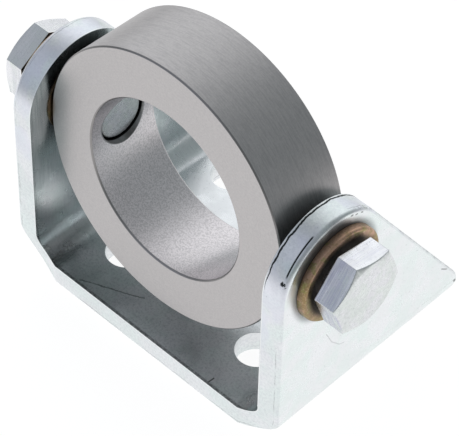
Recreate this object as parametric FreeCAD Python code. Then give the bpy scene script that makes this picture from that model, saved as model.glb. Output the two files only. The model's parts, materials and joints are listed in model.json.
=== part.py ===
import FreeCAD, Part
import math
import os

# Cylinder swivel mount: a steel bracket folded from one sheet, and a turned ring that swivels
# between its two ears on a pair of shouldered hexagon screws. The screws run in flanged bronze
# bushes, and a bronze thrust washer keeps the ring off each ear.
# Origin: underside of the base, straight below the swivel axis.
# X runs along the swivel axis, Y from the front edge to the back edge, Z up. Millimetres.

# Ring, which takes the threaded nose of the cylinder
ring_outer_d = 70.0
ring_bore_d = 45.0
ring_width = 19.6
ring_edge_chamfer = 0.5
ring_bore_chamfer = 0.5
# The ring has swung this far back from level in the resting pose
ring_tilt_deg = -2.5

# Bracket, folded from one sheet
sheet_t = 6.0
bend_inner_r = 6.0
swivel_height = 49.0
bracket_front = -16.0
bracket_back = 45.0
ear_top_r = 15.5
# Height at which the slope of the ear would meet the back edge if the corner were sharp
ear_back_height = 11.0
ear_corner_r = 8.0
# Edge that the blanking tool draws in round the outside of the sheet
die_roll = 0.8

# Fixing holes in the base
base_hole_d = 10.0
base_hole_spacing_x = 42.0
base_hole_spacing_y = 35.0
base_hole_front_y = -1.0

# Flanged bushes pressed into the ears, flush with their inside
bush_body_d = 18.0
bush_flange_d = 23.6
bush_flange_t = 2.2
bush_flange_chamfer = 0.6

# Thrust washers between the ears and the ring
washer_d = 21.5
washer_t = 0.3
# Side play of the ring against each washer
side_play = 0.1
# Clearance on the radius, between washer and shoulder
washer_clearance = 0.1

# Shouldered hexagon screws, which turn with the ring
shoulder_d = 14.0
# Running clearance on the radius, between shoulder and bush
shoulder_clearance = 0.05
thread_d = 12.0
head_across_flats = 18.0
head_height = 6.1
head_chamfer_deg = 24.0
# How far inside the flats the turned-off corners start
head_face_inset = 0.4
# Gap between the flange of a bush and the underside of the head
head_gap = 1.25
# How far the end of a screw lies below the wall of the bore
screw_end_depth = 0.6
screw_end_chamfer = 0.25
# Direction of one corner of each head, turned from +Y towards +Z
right_head_turn_deg = 110.0
left_head_turn_deg = 92.0

# Screw seats in the ring
seat_depth = 1.0
seat_clearance = 0.25
# The thread stops short of the bore in a plain counterbore, this much larger on the radius
relief_step = 0.65
relief_depth = 1.6

# Sizes that follow
ring_outer_r = ring_outer_d / 2
ring_bore_r = ring_bore_d / 2
washer_inner_x = ring_outer_r + side_play
ear_inner_x = washer_inner_x + washer_t
ear_outer_x = ear_inner_x + sheet_t
bend_outer_r = bend_inner_r + sheet_t
# The round top of an ear runs straight into its front edge
ear_top_y = bracket_front + ear_top_r
ear_top_z = swivel_height + ear_top_r
seat_x = ring_outer_r - seat_depth
screw_end_x = ring_bore_r + screw_end_depth
flange_outer_x = ear_outer_x + bush_flange_t
head_under_x = flange_outer_x + head_gap
head_outer_x = head_under_x + head_height
bush_bore_d = shoulder_d + 2 * shoulder_clearance
relief_d = thread_d + 2 * relief_step
# Cutting tools run this far past the faces that they cut
overrun = 5.0

swivel_centre = FreeCAD.Vector(0, 0, swivel_height)
along_x = FreeCAD.Vector(1, 0, 0)
along_y = FreeCAD.Vector(0, 1, 0)
along_z = FreeCAD.Vector(0, 0, 1)


def line(a, b):
    return Part.LineSegment(a, b).toShape()


def arc(start, through, end):
    return Part.Arc(start, through, end).toShape()


def revolve(points, axis_point, axis):
    """Turns a closed outline a full turn about an axis."""
    outline = Part.makePolygon(points + [points[0]])
    return Part.Face(outline).revolve(axis_point, axis, 360)


def rod_along_x(diameter, x_start, x_end):
    """A round rod on the swivel axis."""
    start = FreeCAD.Vector(x_start, 0, swivel_height)
    return Part.makeCylinder(diameter / 2, x_end - x_start, start, along_x)


def on_left(shape):
    """The same shape mirrored to the other end of the swivel axis."""
    return shape.mirror(FreeCAD.Vector(0, 0, 0), along_x)


# Bracket

def channel():
    """The sheet bent into a U, as wide and deep as the bracket, before the ears get their outline."""
    centre_x = ear_outer_x - bend_outer_r

    def at(x, z):
        return FreeCAD.Vector(x, bracket_front, z)

    def in_bend(side, radius):
        """The middle of a bend, on the skin at this radius."""
        reach = radius * math.sqrt(0.5)
        return at(side * (centre_x + reach), bend_outer_r - reach)

    edges = [
        line(at(-ear_outer_x, ear_top_z), at(-ear_outer_x, bend_outer_r)),
        arc(at(-ear_outer_x, bend_outer_r), in_bend(-1, bend_outer_r), at(-centre_x, 0)),
        line(at(-centre_x, 0), at(centre_x, 0)),
        arc(at(centre_x, 0), in_bend(1, bend_outer_r), at(ear_outer_x, bend_outer_r)),
        line(at(ear_outer_x, bend_outer_r), at(ear_outer_x, ear_top_z)),
        line(at(ear_outer_x, ear_top_z), at(ear_inner_x, ear_top_z)),
        line(at(ear_inner_x, ear_top_z), at(ear_inner_x, bend_outer_r)),
        arc(at(ear_inner_x, bend_outer_r), in_bend(1, bend_inner_r), at(centre_x, sheet_t)),
        line(at(centre_x, sheet_t), at(-centre_x, sheet_t)),
        arc(at(-centre_x, sheet_t), in_bend(-1, bend_inner_r), at(-ear_inner_x, bend_outer_r)),
        line(at(-ear_inner_x, bend_outer_r), at(-ear_inner_x, ear_top_z)),
        line(at(-ear_inner_x, ear_top_z), at(-ear_outer_x, ear_top_z)),
    ]
    section = Part.Face(Part.Wire(edges))
    return section.extrude(along_y * (bracket_back - bracket_front))


def ear_outline():
    """The side outline: upright front edge, round top, long slope to the back, rounded back corner."""
    start_x = -ear_outer_x - overrun

    def at(y, z):
        return FreeCAD.Vector(start_x, y, z)

    # The slope leaves the round top at the point where it is tangent to it
    along = bracket_back - ear_top_y
    down = ear_back_height - swivel_height
    tangent = math.atan2(down, along) + math.acos(ear_top_r / math.hypot(along, down))
    slope_y = ear_top_y + ear_top_r * math.cos(tangent)
    slope_z = swivel_height + ear_top_r * math.sin(tangent)

    # The back corner is rounded between the slope and the upright back edge
    slope_length = math.hypot(bracket_back - slope_y, ear_back_height - slope_z)
    along_slope_y = (bracket_back - slope_y) / slope_length
    along_slope_z = (ear_back_height - slope_z) / slope_length
    half_turn = math.acos(-along_slope_z) / 2
    cut_back = ear_corner_r * math.tan(half_turn)
    corner_start = at(bracket_back - along_slope_y * cut_back, ear_back_height - along_slope_z * cut_back)
    corner_end = at(bracket_back, ear_back_height - cut_back)
    corner_centre_y = bracket_back - ear_corner_r
    corner_middle = at(corner_centre_y + ear_corner_r * math.cos(half_turn),
                       corner_end.z + ear_corner_r * math.sin(half_turn))

    edges = [
        line(at(bracket_front, 0), at(bracket_front, swivel_height)),
        arc(at(bracket_front, swivel_height), at(ear_top_y, ear_top_z), at(slope_y, slope_z)),
        line(at(slope_y, slope_z), corner_start),
        arc(corner_start, corner_middle, corner_end),
        line(corner_end, at(bracket_back, 0)),
        line(at(bracket_back, 0), at(bracket_front, 0)),
    ]
    outline = Part.Face(Part.Wire(edges))
    return outline.extrude(along_x * (2 * (ear_outer_x + overrun)))


def on_outside(point):
    """Whether a point lies on the outside of the folded sheet."""
    across = abs(point.x) - (ear_outer_x - bend_outer_r)
    if across > 0 and point.z < bend_outer_r:
        gap = math.hypot(across, bend_outer_r - point.z) - bend_outer_r
    elif across > 0:
        gap = abs(point.x) - ear_outer_x
    else:
        gap = point.z
    return abs(gap) < 0.001


def outside_outline(body):
    """The edges that run round the outside of the sheet, without the lines where the bends begin."""
    found = []
    for edge in body.Edges:
        points = edge.discretize(5)
        span = points[-1] - points[0]
        along_bend = abs(span.x) < 0.001 and abs(span.z) < 0.001
        if all(on_outside(p) for p in points) and not along_bend:
            found.append(edge)
    return found


def bracket():
    body = channel().common(ear_outline()).removeSplitter()
    body = body.makeChamfer(die_roll, outside_outline(body))
    cuts = [rod_along_x(bush_body_d, -ear_outer_x - overrun, ear_outer_x + overrun)]
    for side in (-1, 1):
        for row in (0, 1):
            place = FreeCAD.Vector(side * base_hole_spacing_x / 2,
                                   base_hole_front_y + row * base_hole_spacing_y, -overrun)
            cuts.append(Part.makeCylinder(base_hole_d / 2, sheet_t + 2 * overrun, place, along_z))
    return body.cut(cuts)


# Flanged bush

def flanged_bush():
    """A bush for the right ear: plain body through the sheet, flange against its outside."""
    bore = bush_bore_d / 2
    body = bush_body_d / 2
    flange = bush_flange_d / 2

    def at(x, radius):
        return FreeCAD.Vector(x, 0, swivel_height + radius)

    profile = [
        at(ear_inner_x, bore),
        at(ear_inner_x, body),
        at(ear_outer_x, body),
        at(ear_outer_x, flange),
        at(flange_outer_x - bush_flange_chamfer, flange),
        at(flange_outer_x, flange - bush_flange_chamfer),
        at(flange_outer_x, bore),
    ]
    return revolve(profile, swivel_centre, along_x)


# Thrust washer

def thrust_washer():
    """A thin flat ring that lies against the inside of the right ear."""
    hole_d = shoulder_d + 2 * washer_clearance
    disc = rod_along_x(washer_d, washer_inner_x, ear_inner_x)
    return disc.cut(rod_along_x(hole_d, washer_inner_x - overrun, ear_inner_x + overrun))


# Shouldered screw

def hexagon_head(turn_deg):
    """A hexagon head with its outer corners turned off at an angle."""
    corner_r = head_across_flats / math.sqrt(3)
    corners = []
    for step in range(7):
        angle = math.radians(turn_deg + 60 * step)
        corners.append(FreeCAD.Vector(head_under_x, corner_r * math.cos(angle),
                                      swivel_height + corner_r * math.sin(angle)))
    prism = Part.Face(Part.makePolygon(corners)).extrude(along_x * head_height)
    face_r = head_across_flats / 2 - head_face_inset
    drop = (corner_r - face_r) * math.tan(math.radians(head_chamfer_deg))
    outline = [
        FreeCAD.Vector(head_under_x, 0, swivel_height),
        FreeCAD.Vector(head_under_x, 0, swivel_height + corner_r + overrun),
        FreeCAD.Vector(head_outer_x - drop, 0, swivel_height + corner_r + overrun),
        FreeCAD.Vector(head_outer_x - drop, 0, swivel_height + corner_r),
        FreeCAD.Vector(head_outer_x, 0, swivel_height + face_r),
        FreeCAD.Vector(head_outer_x, 0, swivel_height),
    ]
    turned = revolve(outline, swivel_centre, along_x)
    return prism.common(turned)


def shoulder_screw(turn_deg):
    """A screw for the right side: head, shoulder that runs in the bush, thread into the ring."""
    shoulder = rod_along_x(shoulder_d, seat_x, head_under_x)
    thread = rod_along_x(thread_d, screw_end_x + screw_end_chamfer, seat_x)
    end = Part.makeCone(thread_d / 2 - screw_end_chamfer, thread_d / 2, screw_end_chamfer,
                        FreeCAD.Vector(screw_end_x, 0, swivel_height), along_x)
    return hexagon_head(turn_deg).fuse([shoulder, thread, end]).removeSplitter()


# Ring

def swivel_ring():
    half = ring_width / 2
    outer = ring_outer_r
    bore = ring_bore_r

    def at(radius, y):
        return FreeCAD.Vector(0, y, swivel_height + radius)

    profile = [
        at(bore + ring_bore_chamfer, -half),
        at(outer - ring_edge_chamfer, -half),
        at(outer, -half + ring_edge_chamfer),
        at(outer, half - ring_edge_chamfer),
        at(outer - ring_edge_chamfer, half),
        at(bore + ring_bore_chamfer, half),
        at(bore, half - ring_bore_chamfer),
        at(bore, -half + ring_bore_chamfer),
    ]
    body = revolve(profile, swivel_centre, along_y)
    tapped = rod_along_x(thread_d, ring_bore_r - overrun, ring_outer_r + overrun)
    seat = rod_along_x(shoulder_d + 2 * seat_clearance, seat_x, ring_outer_r + overrun)
    relief = rod_along_x(relief_d, ring_bore_r - overrun, ring_bore_r + relief_depth)
    cuts = [tapped, seat, relief]
    body = body.cut(cuts + [on_left(cut) for cut in cuts])
    body.rotate(swivel_centre, along_x, ring_tilt_deg)
    return body


parts = {
    "bracket": bracket(),
    "right_flanged_bush": flanged_bush(),
    "left_flanged_bush": on_left(flanged_bush()),
    "right_thrust_washer": thrust_washer(),
    "left_thrust_washer": on_left(thrust_washer()),
    "right_shoulder_screw": shoulder_screw(right_head_turn_deg),
    "left_shoulder_screw": on_left(shoulder_screw(left_head_turn_deg)),
    "swivel_ring": swivel_ring(),
}

os.makedirs("parts", exist_ok=True)
for name, shape in parts.items():
    if len(shape.Solids) != 1 or not shape.isValid():
        raise ValueError(name + " is not one valid solid")
    shape.Solids[0].exportStep("parts/" + name + ".step")
    box = shape.BoundBox
    print(name, round(shape.Volume), "mm3",
          [round(v, 2) for v in (box.XMin, box.XMax, box.YMin, box.YMax, box.ZMin, box.ZMax)])
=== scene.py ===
# %% [markdown]
# A swivel mount for an air cylinder: a bracket folded from thick zinc plated sheet, and a heavy
# turned ring that tips between its two ears on a pair of hexagon screws in bronze bushes.
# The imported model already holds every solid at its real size. It is loaded first and is never
# moved: this lesson dresses it, adds the fine forms that a solid model leaves out, and sets the
# light and the camera.

# %% Load the frame
import json
import math
from types import SimpleNamespace

import bmesh
import bpy
from mathutils import Matrix, Vector
from mathutils.geometry import intersect_point_line


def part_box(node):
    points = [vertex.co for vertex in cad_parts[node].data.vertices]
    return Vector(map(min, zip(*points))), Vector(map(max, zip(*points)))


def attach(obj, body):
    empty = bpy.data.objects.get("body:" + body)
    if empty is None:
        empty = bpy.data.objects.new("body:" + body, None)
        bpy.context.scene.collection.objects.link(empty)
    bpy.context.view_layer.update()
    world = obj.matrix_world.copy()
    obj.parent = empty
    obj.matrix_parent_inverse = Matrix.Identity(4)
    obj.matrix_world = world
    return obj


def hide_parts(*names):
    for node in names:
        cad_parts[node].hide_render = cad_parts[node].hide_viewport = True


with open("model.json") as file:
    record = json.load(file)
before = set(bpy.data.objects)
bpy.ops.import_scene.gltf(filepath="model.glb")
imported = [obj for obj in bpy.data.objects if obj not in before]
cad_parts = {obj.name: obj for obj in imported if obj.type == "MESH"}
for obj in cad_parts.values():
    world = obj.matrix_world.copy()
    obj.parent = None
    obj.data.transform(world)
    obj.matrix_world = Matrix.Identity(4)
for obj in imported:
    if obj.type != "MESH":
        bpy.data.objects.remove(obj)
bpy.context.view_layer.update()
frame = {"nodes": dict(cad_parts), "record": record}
nodes = frame["nodes"]
scene = bpy.context.scene
print("nodes:", ", ".join(sorted(nodes)))

# %% [markdown]
# The camera comes first, because every finish is judged through it. It looks down on the mount
# from the front right, from a good half metre away through a long lens, so that the upright
# edges stay nearly parallel. Its place is worked out from two angles in degrees, a distance and
# the point that it looks at, and a small roll turns it about its own line of sight. Colours are
# shown by the Standard view, which leaves white as white.

# %% Camera
MM = 0.001
camera_turn, camera_rise, camera_roll = 43.07, 47.65, 1.47
camera_distance = 566.0 * MM
camera_aim = Vector((11.02, -0.34, 41.91)) * MM
sensor_width = 36.0
lens_length = 203.8


def towards(turn, rise):
    """A direction, in degrees from the front towards the right and up from the level."""
    turn, rise = math.radians(turn), math.radians(rise)
    across = math.cos(rise)
    return Vector((math.sin(turn) * across, -math.cos(turn) * across, math.sin(rise)))


back = towards(camera_turn, camera_rise)
level = towards(camera_turn + 90, 0)
upward = back.cross(level)
roll = math.radians(camera_roll)
right_axis = level * math.cos(roll) + upward * math.sin(roll)
up_axis = upward * math.cos(roll) - level * math.sin(roll)

camera_data = bpy.data.cameras.new("camera")
camera_data.sensor_width = sensor_width
camera_data.lens = lens_length
camera = bpy.data.objects.new("camera", camera_data)
scene.collection.objects.link(camera)
camera_axes = Matrix((right_axis, up_axis, back)).transposed().to_4x4()
camera.matrix_world = Matrix.Translation(camera_aim + back * camera_distance) @ camera_axes
scene.camera = camera
scene.view_settings.view_transform = "Standard"
print("camera at", [round(v, 3) for v in camera.matrix_world.translation])

# %% [markdown]
# The sizes that the pieces and the patterns need are read from the frame, so that they follow
# the solid model. The swivel axis and the direction of the ring's own axis are in the record,
# and the boxes of the nodes give the rest. The bends are as tight inside as the sheet is thick.
# Everything here is counted in millimetres.

# %% Sizes from the frame
record = frame["record"]
mounts = {mount["name"]: mount for mount in record["mounts"]}
swivel = Vector(record["behaviour"]["joints"][0]["pos_m"]) / MM
ring_axis = Vector(mounts["ring_bore"]["axis"])
ring_bore_r = mounts["ring_bore"]["dims"]["r_mm"]


def node_box(name):
    low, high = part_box(name)
    return Vector(low) / MM, Vector(high) / MM


bracket_low, bracket_high = node_box("bracket")
bush_low, bush_high = node_box("right_flanged_bush")
screw_low, screw_high = node_box("right_shoulder_screw")
ear_outer_x = bracket_high.x
ear_inner_x = bush_low.x
sheet_t = ear_outer_x - ear_inner_x
bend_outer_r = 2 * sheet_t
bend_x = ear_outer_x - bend_outer_r
ring_outer_r = node_box("swivel_ring")[1].x
bush_flange_r = bush_high.z - swivel.z
print("ear outside", round(ear_outer_x, 2), "ring radius", round(ring_outer_r, 2),
      "head end", round(screw_high.x, 2), "flange end", round(bush_high.x, 2))

# %% [markdown]
# Materials are built from nodes, and a few small helpers keep that readable: one adds a node,
# one feeds a socket with a number or another socket, and the rest wrap the sums, noises and
# blends that every finish below uses. All patterns read Object coordinates in millimetres, so
# a scale of 2 means two features in a millimetre.

# %% Node helpers
def add_node(tree, kind, **settings):
    made = tree.nodes.new(kind)
    for name, value in settings.items():
        setattr(made, name, value)
    return made


def feed(tree, socket, source):
    """Links a socket to another one, or sets it to a plain value."""
    if isinstance(source, bpy.types.NodeSocket):
        tree.links.new(source, socket)
    else:
        socket.default_value = source


def maths(tree, operation, *values, clamp=False):
    made = add_node(tree, "ShaderNodeMath", operation=operation, use_clamp=clamp)
    for socket, value in zip(made.inputs, values):
        feed(tree, socket, value)
    return made.outputs[0]


def vector_maths(tree, operation, *values):
    made = add_node(tree, "ShaderNodeVectorMath", operation=operation)
    for socket, value in zip(made.inputs, values):
        feed(tree, socket, value)
    gives_number = operation in ("LENGTH", "DOT_PRODUCT", "DISTANCE")
    return made.outputs["Value" if gives_number else "Vector"]


def stretch(tree, vector, factors):
    """Scales a vector by a different factor along each axis."""
    return vector_maths(tree, "MULTIPLY", vector, factors)


def lengthened(tree, vector, factor):
    """A fixed vector, made longer or shorter by a socket."""
    made = add_node(tree, "ShaderNodeVectorMath", operation="SCALE")
    feed(tree, made.inputs[0], tuple(vector))
    feed(tree, made.inputs["Scale"], factor)
    return made.outputs[0]


def split(tree, vector):
    made = add_node(tree, "ShaderNodeSeparateXYZ")
    feed(tree, made.inputs[0], vector)
    return made.outputs


def join(tree, x, y, z):
    made = add_node(tree, "ShaderNodeCombineXYZ")
    for socket, value in zip(made.inputs, (x, y, z)):
        feed(tree, socket, value)
    return made.outputs[0]


def noise(tree, vector, scale, detail=2.0, roughness=0.5):
    made = add_node(tree, "ShaderNodeTexNoise")
    feed(tree, made.inputs["Vector"], vector)
    feed(tree, made.inputs["Scale"], scale)
    feed(tree, made.inputs["Detail"], detail)
    feed(tree, made.inputs["Roughness"], roughness)
    return made.outputs["Fac"]


def cells(tree, vector, scale):
    """The distance to the nearest of many scattered points."""
    made = add_node(tree, "ShaderNodeTexVoronoi")
    feed(tree, made.inputs["Vector"], vector)
    feed(tree, made.inputs["Scale"], scale)
    return made.outputs["Distance"]


def bump(tree, height, strength, distance):
    made = add_node(tree, "ShaderNodeBump")
    feed(tree, made.inputs["Height"], height)
    feed(tree, made.inputs["Strength"], strength)
    feed(tree, made.inputs["Distance"], distance)
    return made.outputs["Normal"]


# %% [markdown]
# Most of what follows is masks: values from nothing to one that say where a mark lies. A mask is
# made by spreading a measured length over a short span, and masks are multiplied where both must
# hold and compared where either may. These helpers name those few sums. The spans and strengths
# given to them were set against the real finish.

# %% Mask helpers
def spread(tree, value, low, high, to_low=0.0, to_high=1.0):
    """Maps a value from one span to another, softly and with ends held."""
    made = add_node(tree, "ShaderNodeMapRange", interpolation_type="SMOOTHSTEP")
    for socket, source in zip(made.inputs, (value, low, high, to_low, to_high)):
        feed(tree, socket, source)
    return made.outputs[0]


def band(tree, value, centre, half_width, softness):
    """One where a value lies near a centre, falling to nothing past the half width."""
    off = maths(tree, "ABSOLUTE", maths(tree, "SUBTRACT", value, centre))
    inner = maths(tree, "SUBTRACT", half_width, softness / 2)
    outer = maths(tree, "ADD", half_width, softness / 2)
    return spread(tree, off, inner, outer, 1.0, 0.0)


def chained(tree, operation, values):
    result = values[0]
    for value in values[1:]:
        result = maths(tree, operation, result, value)
    return result


def product(tree, *values):
    return chained(tree, "MULTIPLY", values)


def total(tree, *values):
    return chained(tree, "ADD", values)


def strongest(tree, *values):
    return chained(tree, "MAXIMUM", values)


def inverse(tree, value):
    return maths(tree, "SUBTRACT", 1.0, value)


def swing(tree, pattern, size):
    """A pattern of about a half, turned into one that swings about nothing."""
    return product(tree, maths(tree, "SUBTRACT", pattern, 0.5), size)


def blend(tree, factor, first, second, kind="MIX"):
    made = add_node(tree, "ShaderNodeMix", data_type="RGBA", blend_type=kind)
    feed(tree, made.inputs[0], factor)
    feed(tree, made.inputs[6], first)
    feed(tree, made.inputs[7], second)
    return made.outputs[2]


def mix_value(tree, factor, first, second):
    made = add_node(tree, "ShaderNodeMix", data_type="FLOAT")
    feed(tree, made.inputs[0], factor)
    feed(tree, made.inputs[2], first)
    feed(tree, made.inputs[3], second)
    return made.outputs[0]


# %% [markdown]
# Every finish starts from the same few measures: the point on the mount, the way that the surface
# faces there, and the way to the point from the swivel axis, which the bushes, the screws and the
# oil round them all go by.

# %% Places on the mount
def millimetres(tree):
    """The point on the object, counted in millimetres from the origin of the mount."""
    point = add_node(tree, "ShaderNodeTexCoord").outputs["Object"]
    return stretch(tree, point, (1000, 1000, 1000))


def facing(tree):
    """The direction that the surface faces, in the object's own axes."""
    return add_node(tree, "ShaderNodeTexCoord").outputs["Normal"]


def from_swivel(tree, point):
    """The way to a point from the middle of the swivel axis."""
    return vector_maths(tree, "SUBTRACT", point, tuple(swivel))


def off_swivel_axis(tree, point):
    """The shortest way to a point from the swivel axis, which runs along X."""
    return stretch(tree, from_swivel(tree, point), (0.0, 1.0, 1.0))


def new_metal(name):
    """A material whose Principled shader is set to bare metal."""
    material = bpy.data.materials.new(name)
    material.use_nodes = True
    shader = material.node_tree.nodes["Principled BSDF"]
    shader.inputs["Metallic"].default_value = 1.0
    return material, material.node_tree, shader


# %% [markdown]
# Some effects belong to more than one finish, so each is built once as a shader node group with
# named sockets and then placed with its own values. The helper below opens a group and gives
# back its inputs as ordinary sockets.

# %% Group helpers
def open_group(name, inputs, outputs):
    """Starts a node group: its tree, its input sockets by name and its output node."""
    group = bpy.data.node_groups.new(name, "ShaderNodeTree")
    sides = group.interface
    for title, kind, value in inputs:
        socket = sides.new_socket(name=title, in_out="INPUT", socket_type="NodeSocket" + kind)
        if value is not None:
            socket.default_value = value
    for title in outputs:
        sides.new_socket(name=title, in_out="OUTPUT", socket_type="NodeSocketFloat")
    entry = group.nodes.new("NodeGroupInput")
    leave = group.nodes.new("NodeGroupOutput")
    return group, {socket.name: socket for socket in entry.outputs}, leave


def place(tree, group, **values):
    """Adds a group to a material. A value is named as its socket, with _ for a space."""
    made = add_node(tree, "ShaderNodeGroup", node_tree=group)
    for name, value in values.items():
        feed(tree, made.inputs[name.replace("_", " ")], value)
    return made.outputs


# %% [markdown]
# Zinc plating is never one flat grey. Its crystals grow in patches a few millimetres wide that
# drift between a cool green tint and a faint lavender, over a much finer grain. One group gives
# both, as masks from zero to one, for the sheet and for the screws.

# %% Plating cloud
def build_plating_cloud():
    tree, given, leave = open_group(
        "plating_cloud",
        [("Point", "Vector", None), ("Patch Size", "Float", 6.0), ("Grain Size", "Float", 0.5)],
        ["Tint", "Shade", "Grain"])
    patch_scale = maths(tree, "DIVIDE", 1.0, given["Patch Size"])
    grain_scale = maths(tree, "DIVIDE", 1.0, given["Grain Size"])
    shifted = vector_maths(tree, "ADD", given["Point"], (31.0, 17.0, 5.0))
    tint = noise(tree, given["Point"], patch_scale, 3.0, 0.55)
    shade = noise(tree, shifted, patch_scale, 5.0, 0.62)
    grain = noise(tree, given["Point"], grain_scale, 2.0, 0.6)
    feed(tree, leave.inputs["Tint"], spread(tree, tint, 0.38, 0.62))
    feed(tree, leave.inputs["Shade"], spread(tree, shade, 0.34, 0.66))
    feed(tree, leave.inputs["Grain"], spread(tree, grain, 0.3, 0.7))
    return tree


plating_cloud = build_plating_cloud()
print("group:", plating_cloud.name, "with", len(plating_cloud.nodes), "nodes")

# %% [markdown]
# Handling leaves fine scratches: long thin marks that run one way, broken up so that no two are
# alike. A noise stretched hard along one axis and cut near its top gives such marks. Three sets
# are laid over each other, each turned another way.

# %% Scratches
scratch_turns = (0.5, 1.9, 2.7)
scratch_tilt = (0.3, 0.5, 1.0)
scratch_thinness = 4.0


def build_scratches():
    tree, given, leave = open_group(
        "scratches",
        [("Point", "Vector", None), ("Amount", "Float", 0.3), ("Length", "Float", 8.0)],
        ["Mask"])
    slim = maths(tree, "DIVIDE", 1.0, given["Length"])
    threshold = maths(tree, "SUBTRACT", 0.80, product(tree, given["Amount"], 0.16))
    sets = []
    for turn in scratch_turns:
        rotate = add_node(tree, "ShaderNodeVectorRotate", rotation_type="AXIS_ANGLE")
        feed(tree, rotate.inputs["Vector"], given["Point"])
        feed(tree, rotate.inputs["Axis"], scratch_tilt)
        feed(tree, rotate.inputs["Angle"], turn)
        pull = join(tree, slim, scratch_thinness, scratch_thinness)
        mark = noise(tree, stretch(tree, rotate.outputs[0], pull), 1.0, 1.0, 0.4)
        sets.append(spread(tree, mark, threshold, total(tree, threshold, 0.05)))
    feed(tree, leave.inputs["Mask"], strongest(tree, *sets))
    return tree


scratches = build_scratches()
print("group:", scratches.name, "with", len(scratches.nodes), "nodes")

# %% [markdown]
# The bracket was blanked from 6 mm sheet and folded, and the press leaves its own marks. On a cut
# face the punch rolls in the outer edge, shears the next part and tears the rest, with a lip where
# the sheet broke out on the inside, which is given a painted highlight. All of that depends on how
# deep a point lies below the outside skin. That depth is a short sum, because the skin is flat
# apart from two bends, so the places that the marks go by are worked out once and shared by all
# of them.

# %% Places on the folded sheet
die_roll = 1.1


def depth_in_sheet(tree, point):
    """Millimetres below the outside skin: nothing on the outside, the full gauge on the inside."""
    x, y, z = split(tree, point)
    across = strongest(tree, maths(tree, "SUBTRACT", maths(tree, "ABSOLUTE", x), bend_x), 0.0)
    below = strongest(tree, maths(tree, "SUBTRACT", bend_outer_r, z), 0.0)
    reach = vector_maths(tree, "LENGTH", join(tree, across, below, 0.0))
    return maths(tree, "SUBTRACT", bend_outer_r, reach)


def sheet_places(tree):
    """Where a point lies on the folded sheet, and two noises that roughen the marks there."""
    point = millimetres(tree)
    x, y, z = split(tree, point)
    depth = depth_in_sheet(tree, point)
    wobble = noise(tree, point, 0.42, 3.0, 0.6)
    return SimpleNamespace(
        point=point, x=x, y=y, z=z, depth=depth, wobble=wobble,
        torn=noise(tree, point, 1.5, 4.0, 0.7),
        rough_depth=total(tree, depth, swing(tree, wobble, 0.9)),
        from_middle=maths(tree, "ABSOLUTE", x),
        on_right=spread(tree, x, 0.0, 1.0),
        outside=spread(tree, depth, die_roll - 0.1, die_roll + 0.05, 1.0, 0.0),
        cut_face=band(tree, depth, sheet_t / 2, sheet_t / 2 - 0.12, 0.1),
        inside=spread(tree, depth, sheet_t - 0.12, sheet_t - 0.03))


# %% [markdown]
# The skins come first. Outside, the sheet is bright, with a fine dark speckle. The flat of the
# base is mottled with grains in front; behind the ring the grains fade and the flat is painted
# nearly white, a painted reflection. The inside of the ears and bends is painted darker, as shade
# between the ears and the ring, broken by fine streaks from the folding tool, and one spot on the
# left ear is left light as a painted highlight.

# %% Skins of the sheet
reflection_from_y, reflection_to_y = 9.0, 18.0
sheen_spot = (-ear_inner_x, -10.4, 22.3)


def skin_colour(tree, at, cloud, speckle):
    green, lavender = (0.810, 0.880, 0.870, 1), (0.870, 0.885, 0.905, 1)
    pale, speckle_grey = (0.90, 0.92, 0.925, 1), (0.55, 0.59, 0.60, 1)
    grain_grey, reflected_white, inside_shade_grey = (0.42, 0.47, 0.49, 1), (0.97, 0.98, 1.0, 1), (0.36, 0.425, 0.43, 1)
    colour = blend(tree, cloud["Tint"], green, lavender)
    colour = blend(tree, product(tree, cloud["Shade"], 0.45), colour, pale)
    colour = blend(tree, spread(tree, speckle, 0.50, 0.72, 0.0, 0.22), colour, speckle_grey)

    flat_base = product(tree, spread(tree, at.z, sheet_t + 0.3, sheet_t + 0.1),
                        spread(tree, at.z, sheet_t - 0.1, sheet_t))
    # Behind the ring the flat is painted nearly white, a painted reflection, and its grains fade there.
    reflection_behind_ring = product(tree, flat_base, spread(tree, at.y, reflection_from_y, reflection_to_y))
    grains = product(tree, spread(tree, noise(tree, at.point, 1.7, 4.0, 0.8), 0.44, 0.66), 0.42)
    grains = product(tree, flat_base, grains, inverse(tree, reflection_behind_ring))
    colour = blend(tree, grains, colour, grain_grey)
    colour = blend(tree, product(tree, reflection_behind_ring, 0.85), colour, reflected_white)

    upright = spread(tree, at.from_middle, bend_x - 1.0, ear_inner_x - 1.5)
    streaks = noise(tree, stretch(tree, at.point, (0.3, 2.4, 0.12)), 1.0, 3.0, 0.7)
    streaks = mix_value(tree, spread(tree, streaks, 0.38, 0.66), 0.70, 0.95)
    # One spot on the left ear is spared from the painted shade: a painted highlight.
    sheen_and_bloom = vector_maths(tree, "DISTANCE", at.point, sheen_spot)
    sheen_and_bloom = spread(tree, sheen_and_bloom, 1.0, 7.0, 0.25, 1.0)
    higher = spread(tree, at.z, bend_outer_r, 45.0, 0.35, 1.0)
    # Painted shade between the ears and the ring, darker higher up and broken by streaks from the folding
    # tool.
    shade_inside_ears = product(tree, at.inside, upright, sheen_and_bloom, higher, streaks)
    return blend(tree, shade_inside_ears, colour, inside_shade_grey)


# %% [markdown]
# The cut faces lie between the two skins. They are mottled where the metal tore, with a violet
# cast high on the ears, and end on the inside in the lip where the sheet broke out, painted bright
# as a highlight.

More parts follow.
